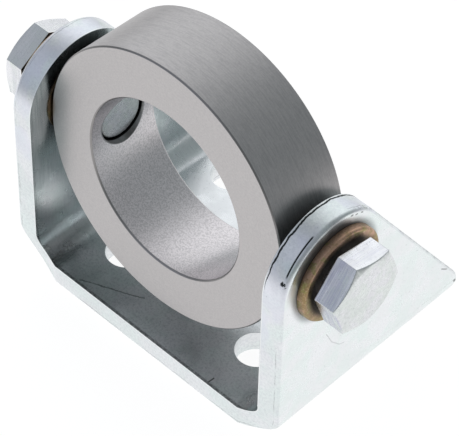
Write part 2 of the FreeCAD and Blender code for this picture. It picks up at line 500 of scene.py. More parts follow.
# %% Cut faces of the sheet
def cut_face_colour(tree, at, colour):
    mottle_grey, violet, highlight_white = (0.56, 0.59, 0.63, 1), (0.78, 0.78, 0.90, 1), (0.96, 0.97, 0.97, 1)
    mottle = product(tree, at.cut_face, spread(tree, at.torn, 0.38, 0.66, 0.0, 0.34))
    colour = blend(tree, mottle, colour, mottle_grey)
    cast = product(tree, at.cut_face, spread(tree, noise(tree, at.point, 0.10, 2.0, 0.5), 0.44, 0.56),
                   spread(tree, at.z, 25.0, 42.0), 0.45)
    colour = blend(tree, cast, colour, violet)
    # The lip where the sheet broke out is painted bright: a painted highlight.
    lip_highlight = product(tree, band(tree, at.depth, sheet_t - 0.15, 0.16, 0.1), at.cut_face, 0.8)
    return blend(tree, lip_highlight, colour, highlight_white)


# %% [markdown]
# Dark lines run along the cut faces. A crack follows the lip round the top of the right ear. The
# roll of the punch ends in a faint broken line, which is torn open in front of the right bush,
# with a small pocket at its lower end. The rim of the long slope is rough, and a dark line of
# painted shade lies along the inside of the front edges.

# %% Dark lines on the sheet
pocket_place = (ear_outer_x - 1.3, -14.8, 55.0)
tear_middle_y, tear_half_length = -10.1, 3.9


def dark_lines(tree, at):
    right_top = product(tree, at.on_right, spread(tree, at.z, 50.0, 54.0))
    crack_width = spread(tree, at.z, 52.0, 60.0, 0.10, 0.22)
    crack = product(tree, band(tree, at.rough_depth, sheet_t - 0.60, crack_width, 0.12), right_top)

    shifted = vector_maths(tree, "ADD", at.point, (40.0, 9.0, 23.0))
    broken = spread(tree, noise(tree, shifted, 0.13, 2.0, 0.5), 0.46, 0.56)
    roll_end = product(tree, band(tree, at.rough_depth, die_roll + 0.1, 0.07, 0.12), broken, 0.45)
    before_bush = product(tree, at.on_right, band(tree, at.y, tear_middle_y, tear_half_length, 0.8),
                          spread(tree, at.z, 56.0, 57.0))
    tear = product(tree, band(tree, at.depth, die_roll + 0.1, 0.20, 0.12), before_bush)
    pocket = vector_maths(tree, "DISTANCE", at.point, pocket_place)
    pocket = spread(tree, total(tree, pocket, swing(tree, at.torn, 3.0)), 0.45, 0.7, 1.0, 0.0)

    on_slope = product(tree, at.on_right, spread(tree, at.y, 4.0, 9.0))
    rough_rim = product(tree, on_slope, spread(tree, at.z, bend_outer_r - 2, bend_outer_r),
                        band(tree, at.rough_depth, 0.80, 0.40, 0.25),
                        spread(tree, at.torn, 0.44, 0.60), 0.42)
    # A dark line of painted shade along the inside of the front edges, strongest on the base.
    near_front = spread(tree, total(tree, at.y, swing(tree, at.torn, 0.7)),
                        bracket_low.y + 0.55, bracket_low.y + 0.95, 1.0, 0.0)
    front_edge_shade = product(tree, at.inside, near_front,
                        spread(tree, at.z, bend_outer_r - 2, bend_outer_r + 2, 0.65, 0.2),
                        spread(tree, at.torn, 0.35, 0.6, 0.3, 1.0))
    return strongest(tree, crack, roll_end, tear, pocket, rough_rim, front_edge_shade)


# %% [markdown]
# A few marks are single strokes, each drawn between two points: a hairline and a dash on the
# base, a faint curl under the right bush, three dents near the top of the right ear and two chips
# at its back corner. Each set has one strength. The hairline is drawn on a wobbling copy of the
# coordinates, so that it isn't straight.

# %% Strokes on the sheet
hairline = ((-21.0, -13.6, sheet_t), (-7.0, -7.4, sheet_t), 0.16)
dash = ((19.9, -15.4, sheet_t), (20.0, -13.8, sheet_t), 0.17)
curl = [((ear_outer_x, -1.2, 28.8), (ear_outer_x, 0.7, 24.7), 0.12),
        ((ear_outer_x, 0.7, 24.7), (ear_outer_x, 3.4, 21.6), 0.12),
        ((ear_outer_x, 3.4, 21.6), (ear_outer_x, 4.9, 21.0), 0.12)]
dents = [((ear_outer_x, 4.2, 62.6), (ear_outer_x, 4.6, 62.5), 0.22),
         ((ear_outer_x, 5.6, 61.9), (ear_outer_x, 6.1, 61.8), 0.17),
         ((ear_outer_x, 7.4, 61.3), (ear_outer_x, 7.9, 61.0), 0.15)]
chips = [((ear_outer_x, 37.8, 18.8), (ear_outer_x, 40.1, 16.9), 0.13),
         ((ear_outer_x - 0.2, 43.3, 10.5), (ear_outer_x - 0.3, 43.8, 9.7), 0.38)]


def stroke(tree, point, start, end, half_width):
    """One along a straight mark between two points, nothing away from it."""
    start, end = Vector(start), Vector(end)
    run = end - start
    off = vector_maths(tree, "SUBTRACT", point, tuple(start))
    ahead = vector_maths(tree, "DOT_PRODUCT", off, tuple(run))
    share = maths(tree, "DIVIDE", ahead, run.length_squared, clamp=True)
    away = vector_maths(tree, "SUBTRACT", off, lengthened(tree, run, share))
    away = vector_maths(tree, "LENGTH", away)
    return spread(tree, away, half_width * 0.5, half_width * 1.5, 1.0, 0.0)


def drawn_strokes(tree, at):
    bend = product(tree, at.wobble, 2.0)
    bent_point = vector_maths(tree, "ADD", at.point, join(tree, bend, bend, 0.0))
    drawn = []
    for point, marks, strength in ((bent_point, [hairline], 0.6), (at.point, [dash], 0.8),
                                   (at.point, curl, 0.25), (at.point, dents, 0.7),
                                   (at.point, chips, 0.75)):
        mask = strongest(tree, *[stroke(tree, point, *mark) for mark in marks])
        drawn.append(product(tree, mask, strength))
    return strongest(tree, *drawn)


# %% [markdown]
# Shade round the bushes is painted on the zinc. A faint ring of painted shade surrounds each
# flange, a darker painted shade reaches furthest on the upper front side of it, and inside the
# ear painted shade lies all round the thrust washer. The gloss is also lowered where the faint
# ring and the darker shade lie, so that mask is given back too.

# %% Painted shade round the bushes
deepest_shade_direction = (0.0, -0.42, 0.907)
shade_halo_from, shade_halo_to = 0.2, 2.2


def shade_round_bushes(tree, at):
    """How dark the painted shade is, and how much of the gloss is taken there."""
    off_axis = off_swivel_axis(tree, at.point)
    from_axis = vector_maths(tree, "LENGTH", off_axis)
    way = vector_maths(tree, "NORMALIZE", off_axis)
    side_on = vector_maths(tree, "DOT_PRODUCT", way, deepest_shade_direction)
    reach = spread(tree, side_on, 0.62, 0.95, 0.7, 4.0)
    past_flange = maths(tree, "DIVIDE", maths(tree, "SUBTRACT", from_axis, bush_flange_r), reach)
    past_flange = total(tree, past_flange, swing(tree, at.wobble, 0.5))
    # The darkest painted shade lies beside the upper front of each flange, in a faint ring of painted
    # shade.
    upper_shade = product(tree, at.outside, spread(tree, past_flange, 0.25, 1.10, 0.88, 0.0),
                    spread(tree, side_on, 0.2, 0.85, 0.25, 1.0))
    shade_halo = product(tree, at.outside, spread(tree, from_axis, bush_flange_r + shade_halo_from,
                                            bush_flange_r + shade_halo_to, 1.0, 0.0))
    # Painted shade inside the ear, round the thrust washer.
    shade_round_washer = product(tree, at.inside, spread(tree, from_axis, 11.0, 15.0, 0.35, 0.0))
    darkness = strongest(tree, upper_shade, shade_round_washer, product(tree, shade_halo, 0.30))
    return darkness, strongest(tree, shade_halo, upper_shade)


# %% [markdown]
# The finish of the bracket lays all of this in order: skins, cut faces, dark lines and strokes,
# painted shade round the bushes, and last the small pits and scratches that lie all over. The
# same masks then drive the gloss and a slight relief, so that a dark line is also a shallow groove.

# %% Zinc on the bracket
def zinc_on_sheet():
    line_black, shade_black = (0.03, 0.035, 0.035, 1), (0.035, 0.036, 0.040, 1)
    worn_grey = (0.28, 0.30, 0.31, 1)
    material, tree, shader = new_metal("zinc_on_sheet")
    at = sheet_places(tree)
    cloud = place(tree, plating_cloud, Point=at.point, Patch_Size=7.0, Grain_Size=0.45)
    speckle = noise(tree, at.point, 2.1, 3.0, 0.75)
    dark = strongest(tree, dark_lines(tree, at), drawn_strokes(tree, at))
    bush_shade, gloss_loss = shade_round_bushes(tree, at)
    pits = product(tree, spread(tree, cells(tree, at.point, 0.55), 0.0, 0.13, 1.0, 0.0),
                   spread(tree, noise(tree, at.point, 0.30, 2.0, 0.5), 0.50, 0.62))
    marks = place(tree, scratches, Point=at.point, Amount=0.55, Length=9.0)["Mask"]
    marks = product(tree, marks, inverse(tree, at.cut_face))
    worn = strongest(tree, product(tree, pits, 0.5), product(tree, marks, 0.30))

    colour = skin_colour(tree, at, cloud, speckle)
    colour = cut_face_colour(tree, at, colour)
    colour = blend(tree, dark, colour, line_black)
    # The painted shade round the bushes.
    colour = blend(tree, bush_shade, colour, shade_black)
    colour = blend(tree, worn, colour, worn_grey)
    feed(tree, shader.inputs["Base Color"], colour)

    front_of_base = product(tree, at.inside, spread(tree, at.from_middle, bend_x - 2.0, bend_x, 1.0, 0.0),
                            spread(tree, at.y, -2.0, 14.0, 1.0, 0.0))
    roughness = total(tree, spread(tree, cloud["Shade"], 0.0, 1.0, 0.25, 0.34),
                      product(tree, front_of_base, 0.14), product(tree, at.cut_face, 0.08),
                      product(tree, gloss_loss, 0.35))
    feed(tree, shader.inputs["Roughness"], roughness)

    height = total(tree, product(tree, cloud["Grain"], 0.12), cloud["Shade"], product(tree, speckle, 0.35),
                   product(tree, at.torn, at.cut_face, 1.6), product(tree, pits, -1.2),
                   product(tree, dark, -1.5))
    feed(tree, shader.inputs["Normal"], bump(tree, height, 0.30, 0.06 * MM))
    return material


# %% [markdown]
# The screws are cold drawn: under the same plating their flats keep straight streaks along the
# length of the bar, stronger on the right screw. Flats that face away from the front are painted
# lighter, a painted highlight, and the upper front flats of the left screw are painted a darker
# grey as shade. The end face is turned, so it has a mottled grain and fine rings about the swivel
# axis. A sine of the distance from the axis gives the rings, and its rate says how close they lie.

# %% Zinc on the screws
end_ring_rate = 26.0


def zinc_on_screws():
    green, lavender = (0.75, 0.79, 0.77, 1), (0.80, 0.80, 0.83, 1)
    streak_blue, lit_white = (0.52, 0.52, 0.66, 1), (0.96, 0.96, 0.98, 1)
    broad_white, grain_grey = (0.95, 0.95, 0.97, 1), (0.50, 0.53, 0.53, 1)
    shade_grey, mark_grey = (0.62, 0.635, 0.60, 1), (0.36, 0.37, 0.38, 1)
    material, tree, shader = new_metal("zinc_on_screws")
    point = millimetres(tree)
    cloud = place(tree, plating_cloud, Point=point, Patch_Size=4.0, Grain_Size=0.4)
    normal_x, normal_y, normal_z = split(tree, facing(tree))
    end_face = spread(tree, maths(tree, "ABSOLUTE", normal_x), 0.75, 0.9)
    on_flat = inverse(tree, end_face)
    # Flats that face away from the front are painted lighter: a painted highlight.
    lit_flat = product(tree, on_flat, spread(tree, normal_y, -0.30, 0.05))
    right_side = spread(tree, split(tree, point)[0], -1.0, 1.0, 0.3, 1.0)

    fine = noise(tree, stretch(tree, point, (2.6, 0.10, 0.10)), 1.0, 3.0, 0.65)
    fine = product(tree, spread(tree, fine, 0.36, 0.64), on_flat, right_side)
    broad = noise(tree, stretch(tree, point, (0.75, 0.05, 0.05)), 1.0, 2.0, 0.6)
    broad = product(tree, spread(tree, broad, 0.54, 0.60), on_flat)
    end_grain = spread(tree, noise(tree, point, 1.4, 4.0, 0.8), 0.40, 0.66, 0.05, 0.45)
    # The upper front flats of the left screw are painted darker: painted shade.
    shaded_left_top = product(tree, on_flat, inverse(tree, right_side), spread(tree, normal_z, 0.3, 0.7),
                       inverse(tree, lit_flat))
    marks = place(tree, scratches, Point=point, Amount=0.7, Length=7.0)["Mask"]

    colour = blend(tree, cloud["Tint"], green, lavender)
    colour = blend(tree, product(tree, fine, 0.70), colour, streak_blue)
    colour = blend(tree, product(tree, lit_flat, 0.6), colour, lit_white)
    colour = blend(tree, product(tree, broad, 0.5), colour, broad_white)
    colour = blend(tree, product(tree, end_face, end_grain), colour, grain_grey)
    colour = blend(tree, product(tree, shaded_left_top, 0.75), colour, shade_grey)
    colour = blend(tree, product(tree, marks, 0.35), colour, mark_grey)
    feed(tree, shader.inputs["Base Color"], colour)

    from_axis = vector_maths(tree, "LENGTH", off_swivel_axis(tree, point))
    rings = product(tree, maths(tree, "SINE", product(tree, from_axis, end_ring_rate)), 0.10, end_face)
    height = total(tree, rings, product(tree, cloud["Shade"], 0.8), product(tree, fine, -0.6))
    feed(tree, shader.inputs["Normal"], bump(tree, height, 0.22, 0.05 * MM))
    feed(tree, shader.inputs["Roughness"], spread(tree, cloud["Shade"], 0.0, 1.0, 0.22, 0.32))
    return material


# %% [markdown]
# The ring is turned metal without plating. A turning tool leaves a fine spiral: on the outside and
# in the bore it runs round the ring, on the faces it is a set of circles. The pattern is worked
# out in the ring's own directions, because the ring hangs a little tilted. The bore is speckled and
# painted brighter, a painted reflection. The turned-off edges and the walls of the cross holes are
# painted dark as shade, and the walls are painted black where they close round the end of the screw.

# %% Turned metal
hole_shade_r = 6.70
screw_gap_from_x, screw_gap_to_x = 22.75, 22.95


def ring_directions(tree, point):
    """The distance along the ring's axis, the part of the way along it, and the part across."""
    off = from_swivel(tree, point)
    along = vector_maths(tree, "DOT_PRODUCT", off, tuple(ring_axis))
    radial = vector_maths(tree, "SUBTRACT", off, lengthened(tree, ring_axis, along))
    return along, vector_maths(tree, "SUBTRACT", off, radial), radial


def turned_metal():
    dark, light, line_dark = (0.505, 0.485, 0.485, 1), (0.575, 0.552, 0.548, 1), (0.42, 0.41, 0.42, 1)
    short_line_dark, bore_sheen = (0.33, 0.32, 0.33, 1), (0.90, 0.855, 0.872, 1)
    bore_speckle = (0.42, 0.405, 0.41, 1)
    edge_shade_black, hole_shade_grey, gap_shade_black = (0.20, 0.195, 0.19, 1), (0.25, 0.26, 0.26, 1), (0.01, 0.01, 0.01, 1)
    material, tree, shader = new_metal("turned_metal")
    point = millimetres(tree)
    along, lengthwise, radial = ring_directions(tree, point)
    radius = vector_maths(tree, "LENGTH", radial)
    tilt = maths(tree, "ABSOLUTE", vector_maths(tree, "DOT_PRODUCT", facing(tree), tuple(ring_axis)))
    on_face = spread(tree, tilt, 0.85, 0.95)
    on_wall = spread(tree, tilt, 0.15, 0.05)
    in_bore = product(tree, on_wall, spread(tree, radius, ring_bore_r + 1, ring_bore_r + 3, 1.0, 0.0))
    on_outside = product(tree, on_wall, inverse(tree, in_bore))
    on_edge = maths(tree, "SUBTRACT", 1.0, total(tree, on_face, on_wall), clamp=True)

    # The turned lines: a long noise round the ring, fine along its axis or across its face
    across = mix_value(tree, on_face, along, radius)
    lines = noise(tree, join(tree, product(tree, across, 3.4), 0.0, 0.0), 1.0, 3.0, 0.7)
    grain = noise(tree, point, 2.4, 3.0, 0.65)
    drawn_out = vector_maths(tree, "ADD", stretch(tree, radial, (0.3, 0.3, 0.3)),
                             stretch(tree, lengthwise, (3.2, 3.2, 3.2)))
    short_lines = noise(tree, drawn_out, 1.0, 2.0, 0.6)
    short_lines = product(tree, spread(tree, short_lines, 0.42, 0.66), on_outside, 0.32)
    speckle = spread(tree, noise(tree, point, 2.6, 2.0, 0.75), 0.42, 0.60)
    colour = blend(tree, spread(tree, grain, 0.3, 0.7), dark, light)
    colour = blend(tree, product(tree, spread(tree, lines, 0.3, 0.7), 0.25), colour, line_dark)
    colour = blend(tree, short_lines, colour, short_line_dark)
    # The bore is painted brighter: a painted reflection.
    colour = blend(tree, product(tree, in_bore, 0.9), colour, bore_sheen)
    colour = blend(tree, product(tree, speckle, in_bore, 0.5), colour, bore_speckle)

    outer_edge = spread(tree, radius, ring_outer_r - 3, ring_outer_r - 2, 0.0, 0.70)
    inner_edge = spread(tree, along, 0.0, 1.0, 0.60, 0.0)
    edges = product(tree, on_edge, strongest(tree, outer_edge, inner_edge))
    from_screw = vector_maths(tree, "LENGTH", off_swivel_axis(tree, point))
    in_hole = spread(tree, from_screw, hole_shade_r, hole_shade_r + 0.08, 1.0, 0.0)
    from_middle = maths(tree, "ABSOLUTE", split(tree, from_swivel(tree, point))[0])
    at_screw_end = spread(tree, from_middle, screw_gap_from_x, screw_gap_to_x)
    # The turned-off edges and the walls of the cross holes are painted dark as shade, black round the end
    # of the screw.
    colour = blend(tree, edges, colour, edge_shade_black)
    colour = blend(tree, product(tree, in_hole, 0.75), colour, hole_shade_grey)
    colour = blend(tree, product(tree, in_hole, at_screw_end), colour, gap_shade_black)
    feed(tree, shader.inputs["Base Color"], colour)

    coarse = noise(tree, point, 0.9, 2.0, 0.6)
    height = total(tree, product(tree, lines, 0.35), product(tree, grain, 0.5),
                   product(tree, coarse, in_bore, 1.2))
    feed(tree, shader.inputs["Normal"], bump(tree, height, 0.30, 0.05 * MM))
    feed(tree, shader.inputs["Roughness"], total(tree, product(tree, on_outside, 0.06), 0.35))
    return material


# %% [markdown]
# Sintered bronze is pressed from powder. It is dull and brown, with green in places, and has a
# pinkish bloom in patches, painted stronger towards the top of the flange as a highlight. The
# corner against the ear and the face under the head are painted near black as shade.

# %% Sintered bronze
def sintered_bronze():
    brown, bloom, green = (0.33, 0.235, 0.12, 1), (0.58, 0.37, 0.26, 1), (0.36, 0.33, 0.13, 1)
    grain_light, grain_dark = (0.72, 0.54, 0.40, 1), (0.10, 0.07, 0.04, 1)
    shade_brown = (0.035, 0.022, 0.012, 1)
    material, tree, shader = new_metal("sintered_bronze")
    point = millimetres(tree)
    x, _, z = split(tree, point)
    grain = noise(tree, point, 2.6, 3.0, 0.7)
    # Bloom in random patches, painted stronger towards the top of the flange as a highlight.
    sheen_and_bloom = total(tree, noise(tree, point, 0.28, 3.0, 0.6),
                   spread(tree, z, swivel.z + 3, swivel.z + 13, -0.10, 0.16))
    shifted = vector_maths(tree, "ADD", point, (5.0, 2.0, 9.0))
    tarnish = spread(tree, noise(tree, shifted, 0.45, 2.0, 0.6), 0.54, 0.62)
    from_middle = maths(tree, "ABSOLUTE", x)
    from_axis = vector_maths(tree, "LENGTH", off_swivel_axis(tree, point))
    # Painted shade: near black in the corner against the ear and on the face under the head.
    shade_in_corner = spread(tree, from_middle, ear_outer_x + 0.05, ear_outer_x + 0.2, 0.7, 0.0)
    shade_under_head = product(tree, spread(tree, from_middle, bush_high.x - 0.15, bush_high.x - 0.02),
                         spread(tree, from_axis, 9.2, 11.2, 0.97, 0.0))

    colour = blend(tree, spread(tree, sheen_and_bloom, 0.40, 0.62), brown, bloom)
    colour = blend(tree, product(tree, tarnish, 0.7), colour, green)
    colour = blend(tree, spread(tree, grain, 0.52, 0.70, 0.0, 0.55), colour, grain_light)
    colour = blend(tree, spread(tree, grain, 0.42, 0.3, 0.0, 0.5), colour, grain_dark)
    colour = blend(tree, strongest(tree, shade_in_corner, shade_under_head), colour, shade_brown)
    feed(tree, shader.inputs["Base Color"], colour)
    feed(tree, shader.inputs["Roughness"], 0.40)
    feed(tree, shader.inputs["Normal"], bump(tree, grain, 0.35, 0.08 * MM))
    return material


# %% [markdown]
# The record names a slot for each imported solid. Each slot gets its finish here, and the packed
# solids take theirs at once, so that none of them is left bare.

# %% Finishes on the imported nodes
finishes = {
    "plated_sheet": zinc_on_sheet(),
    "plated_screw": zinc_on_screws(),
    "turned_ring": turned_metal(),
    "bronze": sintered_bronze(),
}


def give_finish(piece, slot):
    piece.data.materials.clear()
    piece.data.materials.append(finishes[slot])


for row in record["subparts"]:
    give_finish(nodes[row["node"]], row["material_slot"])
for finish in finishes.values():
    print("finish:", finish.name, "with", len(finish.node_tree.nodes), "nodes")

# %% [markdown]
# Every piece of this mount is bare metal, and bare metal shows each facet of its mesh in its
# reflections. So each solid gets a finer stand-in with smooth walls and small rounded edges. The
# helpers below do what a hand would: leave one piece selected, open it, pick parts of it by a
# rule, turn a form, cut one form with another, and round the edges. What is picked depends on the
# mode that the last edit left behind, so a piece is always opened with points to pick.

# %% Modelling helpers
def only(piece):
    """Leaves this piece alone selected, so that an operator acts on nothing else."""
    bpy.ops.object.select_all(action="DESELECT")
    piece.select_set(True)
    bpy.context.view_layer.objects.active = piece


def open_up(piece):
    """Opens this piece alone in edit mode, where points are picked."""
    only(piece)
    bpy.ops.object.mode_set(mode="EDIT")
    bpy.ops.mesh.select_mode(type="VERT")


def pick(piece, kind, rule):
    """In an open piece, picks the points, edges or faces that a rule holds for."""
    bpy.ops.mesh.select_mode(type=kind)
    bpy.ops.mesh.select_all(action="DESELECT")
    form = bmesh.from_edit_mesh(piece.data)
    for part in {"VERT": form.verts, "EDGE": form.edges, "FACE": form.faces}[kind]:
        part.select_set(rule(part))
    bmesh.update_edit_mesh(piece.data)


def close_skin():
    """In an open piece, joins doubled points and turns all faces outwards."""
    bpy.ops.mesh.select_all(action="SELECT")
    bpy.ops.mesh.remove_doubles(threshold=0.001 * MM)
    bpy.ops.mesh.normals_make_consistent(inside=False)
    bpy.ops.object.mode_set(mode="OBJECT")


def settle():
    """Puts a piece's place into its mesh, so that the object itself stays at the origin."""
    bpy.ops.object.transform_apply(location=True, rotation=True, scale=True)


def turned(name, profile, sides=128, hollow=False):
    """A form turned about Z, from its steps of height and radius. A hollow one closes on itself."""
    bpy.ops.object.select_all(action="DESELECT")
    height, radius = profile[0]
    bpy.ops.mesh.primitive_circle_add(vertices=sides, radius=radius * MM, location=(0, 0, height * MM),
                                      fill_type="NOTHING" if hollow else "NGON")
    piece = bpy.context.object
    piece.name = name
    settle()
    open_up(piece)
    bpy.ops.mesh.select_all(action="SELECT")
    steps = profile[1:] + profile[:1] if hollow else profile[1:]
    for next_height, next_radius in steps:
        rise = (next_height - height) * MM
        bpy.ops.mesh.extrude_region_move(TRANSFORM_OT_translate={"value": (0, 0, rise)})
        grow = next_radius / radius
        bpy.ops.transform.resize(value=(grow, grow, 1))
        height, radius = next_height, next_radius
    close_skin()
    return piece


def lay_down(piece, direction, spin=0.0):
    """Lays a form that stands on Z along another direction, with its zero on the swivel axis."""
    only(piece)
    aim = Vector((0, 0, 1)).rotation_difference(Vector(direction)).to_matrix().to_4x4()
    own_turn = Matrix.Rotation(math.radians(spin), 4, "Z")
    piece.matrix_world = Matrix.Translation(swivel * MM) @ aim @ own_turn
    settle()


def cut(piece, tool, operation="DIFFERENCE"):
    """Cuts a piece with another form, which is used up."""
    only(piece)
    change = piece.modifiers.new("cut", "BOOLEAN")
    change.operation = operation
    change.solver = "EXACT"
    change.object = tool
    bpy.ops.object.modifier_apply(modifier=change.name)
    bpy.data.objects.remove(tool)


def join_flats(piece, above=-math.inf):
    """Makes one face of those that lie in one plane above this height, so no seam is left."""
    open_up(piece)
    pick(piece, "FACE", lambda face: all(corner.co.z / MM > above for corner in face.verts))
    bpy.ops.mesh.dissolve_limited(angle_limit=math.radians(0.5))
    bpy.ops.object.mode_set(mode="OBJECT")


def soften(piece, width, segments=2, sharper_than=30):
    """Rounds each edge that turns more sharply than this, and shades the rest as one skin."""
    only(piece)
    rounding = piece.modifiers.new("rounding", "BEVEL")
    rounding.width = width * MM
    rounding.segments = segments
    rounding.limit_method = "ANGLE"
    rounding.angle_limit = math.radians(sharper_than)
    rounding.use_clamp_overlap = False
    bpy.ops.object.modifier_apply(modifier=rounding.name)
    bpy.ops.object.shade_smooth_by_angle(angle=math.radians(40))
    even = piece.modifiers.new("even", "WEIGHTED_NORMAL")
    even.keep_sharp = True
    bpy.ops.object.modifier_apply(modifier=even.name)


def dress(piece, node, body, slot):
    """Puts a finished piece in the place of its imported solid, with that solid's finish."""
    give_finish(piece, slot)
    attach(piece, body)
    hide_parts(node)
    print(piece.name, "replaces", node, "with", len(piece.data.polygons), "faces")


# %% [markdown]
# The bracket is folded as a press folds it. It starts as one short edge across the gauge at the
# top of the left ear, which is pulled down, spun round the first bend, pulled across, spun round
# the second bend and pulled up again. That gives the section, and the section is then drawn back
# to the full depth of the bracket, in short rows near the front, where the edge will be shaped.

# %% Folded sheet
bracket_front = bracket_low.y
bracket_back = bracket_high.y
gauge_layers = 4
bend_steps = 16
rows_back = [1.5, 2.5, 4.0]


def folded_sheet():
    """The sheet bent into a U, before the ears get their outline."""
    bpy.ops.object.select_all(action="DESELECT")
    bpy.ops.mesh.primitive_plane_add(size=sheet_t * MM, location=(
        (sheet_t / 2 - ear_outer_x) * MM, (bracket_front + sheet_t / 2) * MM, bracket_high.z * MM))
    sheet = bpy.context.object
    sheet.name = "folded_bracket"
    settle()
    open_up(sheet)
    pick(sheet, "VERT", lambda corner: corner.co.y / MM > bracket_front + sheet_t / 2)
    bpy.ops.mesh.delete(type="VERT")
    bpy.ops.mesh.select_all(action="SELECT")
    bpy.ops.mesh.subdivide(number_cuts=gauge_layers - 1)
    bpy.ops.mesh.select_all(action="SELECT")

    def pull(x, y, z):
        bpy.ops.mesh.extrude_region_move(TRANSFORM_OT_translate={"value": (x * MM, y * MM, z * MM)})

    def fold(centre_x):
        bpy.ops.mesh.spin(steps=bend_steps, angle=math.radians(90), axis=(0, 1, 0),
                          center=(centre_x * MM, bracket_front * MM, bend_outer_r * MM))

    upright = bracket_high.z - bend_outer_r
    pull(0, 0, -upright)
    fold(-bend_x)
    pull(2 * bend_x, 0, 0)
    fold(bend_x)
    pull(0, 0, upright)
    bpy.ops.mesh.select_all(action="SELECT")
    for row in rows_back:
        pull(0, row, 0)
    pull(0, bracket_back - bracket_front - sum(rows_back), 0)
    close_skin()
    return sheet


print("gauge", round(sheet_t, 2), "in", gauge_layers, "layers, bends in", bend_steps, "steps")

# %% [markdown]
# Folding pulls on the metal. Round a bend the outer skin is stretched, so its cut edge is drawn
# back from the front plane, deepest a little past the middle of the bend, while the inner skin is
# pressed together and is drawn back much less. The points near the front are moved by that rule.

# %% Edges drawn back at the bends
draw_outer = 1.8
draw_inner = 0.75
draw_reach = 8.0
draw_skew = 1.2


def draw_back(sheet):
    for corner in sheet.data.vertices:
        x, y, z = corner.co / MM
        across, below = abs(x) - bend_x, bend_outer_r - z
        if across <= 0 or below <= 0:
            continue
        share = math.atan2(below, across) / (math.pi / 2)
        depth = (bend_outer_r - math.hypot(across, below)) / sheet_t
        deepest = draw_outer + (draw_inner - draw_outer) * depth
        fade = max(0.0, 1 - (y - bracket_front) / draw_reach)
        corner.co.y += deepest * math.sin(math.pi * share ** draw_skew) * fade * MM


print("drawn back by up to", draw_outer, "outside and", draw_inner, "inside")

# %% [markdown]
# Seen from the side, an ear has a round top, a long slope and a rounded back corner. That outline
# bulges everywhere, so it is the hull of two circles and the two lower corners: the points are
# put in their places, and the hull operator wraps them. The bracket keeps what lies inside it.

# %% Side outline
ear_top_r = 15.5
ear_corner_r = 8.0
ear_back_height = 11.0
ear_top_y = bracket_front + ear_top_r
outline_sides = 160
outline_foot_z = -5.0
dot_r = 0.001
spare_in_front = 0.05
spare_beside = 5.0


def facing_circle(radius, x, y, z, sides=outline_sides):
    """Adds a circle of points that faces along X."""
    bpy.ops.mesh.primitive_circle_add(vertices=sides, radius=radius * MM, rotation=(0, math.pi / 2, 0),
                                      location=(x * MM, y * MM, z * MM))


def side_outline():
    along, down = bracket_back - ear_top_y, ear_back_height - swivel.z
    tangent = math.atan2(down, along) + math.acos(ear_top_r / math.hypot(along, down))
    corner_y = bracket_back - ear_corner_r
    corner_rise = ear_top_r - ear_corner_r - (corner_y - ear_top_y) * math.cos(tangent)
    corner_z = swivel.z + corner_rise / math.sin(tangent)
    reach = ear_outer_x + spare_beside
    bpy.ops.object.select_all(action="DESELECT")
    facing_circle(ear_top_r, -reach, ear_top_y, swivel.z)
    outline = bpy.context.object
    settle()
    open_up(outline)
    for x in (-reach, reach):
        facing_circle(ear_top_r, x, ear_top_y, swivel.z)
        facing_circle(ear_corner_r, x, corner_y, corner_z)
        for y in (bracket_front - spare_in_front, bracket_back):
            facing_circle(dot_r, x, y, outline_foot_z, sides=3)
    bpy.ops.mesh.select_all(action="SELECT")
    bpy.ops.mesh.convex_hull()
    bpy.ops.mesh.select_all(action="SELECT")
    bpy.ops.mesh.normals_make_consistent(inside=False)
    bpy.ops.object.mode_set(mode="OBJECT")
    return outline


print("ear: top radius", ear_top_r, "back corner radius", ear_corner_r)

# %% [markdown]
# Five rods cut the holes: one long rod along the swivel axis for both bushes, which are pressed in
# line to line, and one for each fixing hole of the base. Their places come from the record.

# %% Holes
bush_body_r = 9.0
base_holes = mounts["base_holes"]
base_hole_r = base_holes["dims"]["hole_r_mm"]
swivel_rod_reach = 60.0
base_rod_spare = 5.0


def rod(start, end, radius):
    """A round rod between two points, to cut a hole with."""
    start, end = Vector(start), Vector(end)
    run = end - start
    bpy.ops.object.select_all(action="DESELECT")
    bpy.ops.mesh.primitive_cylinder_add(vertices=96, radius=radius * MM, depth=run.length * MM)
    made = bpy.context.object
    aim = run.to_track_quat("Z", "Y").to_matrix().to_4x4()
    made.matrix_world = Matrix.Translation((start + end) / 2 * MM) @ aim
    settle()
    return made


def hole_axes():
    """The holes of the bracket: start, end and radius of the rod that cuts each."""
    middle = Vector(base_holes["pos_m"]) / MM
    axes = [((-swivel_rod_reach, 0, swivel.z), (swivel_rod_reach, 0, swivel.z), bush_body_r)]
    for side in (-0.5, 0.5):
        for row in (-0.5, 0.5):
            x = middle.x + side * base_holes["dims"]["spacing_x_mm"]
            y = middle.y + row * base_holes["dims"]["spacing_y_mm"]
            axes.append(((x, y, -base_rod_spare), (x, y, sheet_t + base_rod_spare), base_hole_r))
    return axes


print("rods for holes:", len(hole_axes()))

# %% [markdown]
# The punch that blanks the sheet draws its outside edge into a wide round, while the holes keep
# their sharp edges. The edges to round are picked by a rule: sharp, on the outside skin and not
# at a hole. Where the bend begins at the round back corner the bevel crowds some points, and
# these are joined into one. The little edges that are left get a small round last.

# %% Rolled edges and the whole bracket
hole_margin = 0.1
hole_reach = 20.0
skin_margin = 0.04
roll_margin = 0.03
roll_angle = math.radians(50)
near_doubles = 0.06
crowd_depth, crowd_height, crowd_gap = 3.0, 0.5, 0.25


def depth_below_skin(point):
    """Millimetres from the outside skin of the folded sheet."""
    across = max(abs(point.x) - bend_x, 0.0)
    below = max(bend_outer_r - point.z, 0.0)
    return bend_outer_r - math.hypot(across, below)


def at_a_hole(point):
    for start, end, radius in hole_axes():
        away = intersect_point_line(point, start, end)[0] - point
        if away.length < radius + hole_margin and abs(point.z - start[2]) < hole_reach:
            return True
    return False


